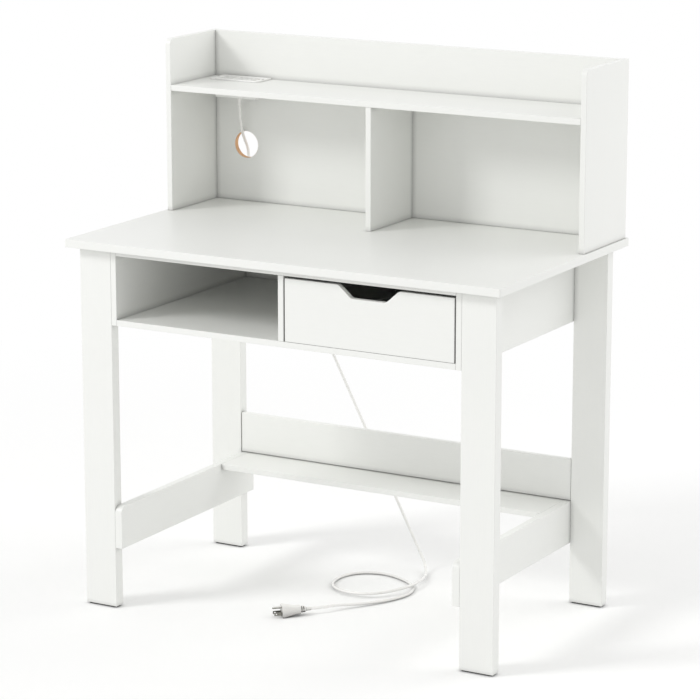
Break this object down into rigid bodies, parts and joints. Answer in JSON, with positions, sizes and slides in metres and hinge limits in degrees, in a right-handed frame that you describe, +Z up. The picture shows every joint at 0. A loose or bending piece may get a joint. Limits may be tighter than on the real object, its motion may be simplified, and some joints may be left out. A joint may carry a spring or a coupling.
{
  "type": "student desk",
  "caption": "White desk on straight board legs, with an open bay, a drawer, a footrest, and a hutch with a shelf, a divider, a cable hole and a built-in power outlet.",
  "frame": {"origin": "on the floor, under the middle of the desktop", "axes": "+X to the right across the desk, +Y from its front to its back, +Z up"},
  "size_m": [0.956, 0.57, 1.104],
  "materials": {
    "painted_board": "fibreboard, sprayed satin white",
    "drawer_board": "fibreboard, white foil",
    "dowel_beech": "plain beech",
    "glide_plastic": "matte grey polyethylene",
    "runner_steel": "white epoxy powder coat",
    "roller_nylon": "white nylon",
    "screw_steel": "zinc plated",
    "outlet_plastic": "white, lightly textured",
    "socket_plastic": "white, smooth",
    "usb_steel": "nickel plated",
    "usb_plastic": "black",
    "cord_plastic": "white flexible vinyl",
    "plug_plastic": "white moulded vinyl",
    "plug_metal": "nickel plated brass"
  },
  "bodies": {
    "desk": {"desktop": "painted_board", "leg_front_left": "painted_board", "leg_back_left": "painted_board", "leg_front_right": "painted_board", "leg_back_right": "painted_board", "leg_glides": "glide_plastic", "case_side_left": "painted_board", "case_side_right": "painted_board", "case_bottom": "painted_board", "case_top": "painted_board", "case_back": "painted_board", "case_divider": "painted_board", "rail_left": "painted_board", "rail_right": "painted_board", "footrest": "painted_board", "stretcher": "painted_board", "hutch_side_left": "painted_board", "hutch_side_right": "painted_board", "hutch_back": "painted_board", "hutch_shelf": "painted_board", "hutch_divider": "painted_board", "runner_case_left": "runner_steel", "runner_case_right": "runner_steel", "runner_screws": "screw_steel", "frame_dowels": "dowel_beech", "hutch_dowels": "dowel_beech", "outlet_housing": "outlet_plastic", "outlet_bezel": "outlet_plastic", "outlet_sockets": "socket_plastic", "outlet_usb_ports": "usb_steel", "outlet_usb_tongues": "usb_plastic", "outlet_screws": "screw_steel", "cord_gland": "cord_plastic", "cord": "cord_plastic", "plug_body": "plug_plastic", "plug_blades": "plug_metal", "plug_pin": "plug_metal"},
    "drawer": {"drawer_front": "painted_board", "drawer_side_left": "drawer_board", "drawer_side_right": "drawer_board", "drawer_back": "drawer_board", "drawer_bottom": "drawer_board", "drawer_dowels": "dowel_beech", "drawer_screws": "screw_steel", "runner_drawer_left": "runner_steel", "runner_drawer_right": "runner_steel"},
    "roller_case_left": {"roller_case_left": "roller_nylon"},
    "roller_case_right": {"roller_case_right": "roller_nylon"},
    "roller_drawer_left": {"roller_drawer_left": "roller_nylon"},
    "roller_drawer_right": {"roller_drawer_right": "roller_nylon"}
  },
  "joints": [
    {"name": "drawer_slide", "type": "slide", "parent": "desk", "child": "drawer", "axis": [0, -1, 0], "range_m": [0, 0.29]},
    {"name": "roller_case_left_spin", "type": "hinge", "parent": "desk", "child": "roller_case_left", "pos_m": [0.01195, -0.225, 0.6219], "axis": [1, 0, 0], "range_deg": [0, 1665]},
    {"name": "roller_drawer_left_spin", "type": "hinge", "parent": "drawer", "child": "roller_drawer_left", "pos_m": [0.01195, 0.139, 0.61735], "axis": [1, 0, 0], "range_deg": [0, 1665]},
    {"name": "roller_case_right_spin", "type": "hinge", "parent": "desk", "child": "roller_case_right", "pos_m": [0.36905, -0.225, 0.6219], "axis": [1, 0, 0], "range_deg": [0, 1665]},
    {"name": "roller_drawer_right_spin", "type": "hinge", "parent": "drawer", "child": "roller_drawer_right", "pos_m": [0.36905, 0.139, 0.61735], "axis": [1, 0, 0], "range_deg": [0, 1665]}
  ],
  "couplings": [
    {"joint": "roller_case_left_spin", "follows": "drawer_slide", "rad_per_m": 100},
    {"joint": "roller_drawer_left_spin", "follows": "drawer_slide", "rad_per_m": 100},
    {"joint": "roller_case_right_spin", "follows": "drawer_slide", "rad_per_m": 100},
    {"joint": "roller_drawer_right_spin", "follows": "drawer_slide", "rad_per_m": 100}
  ]
}
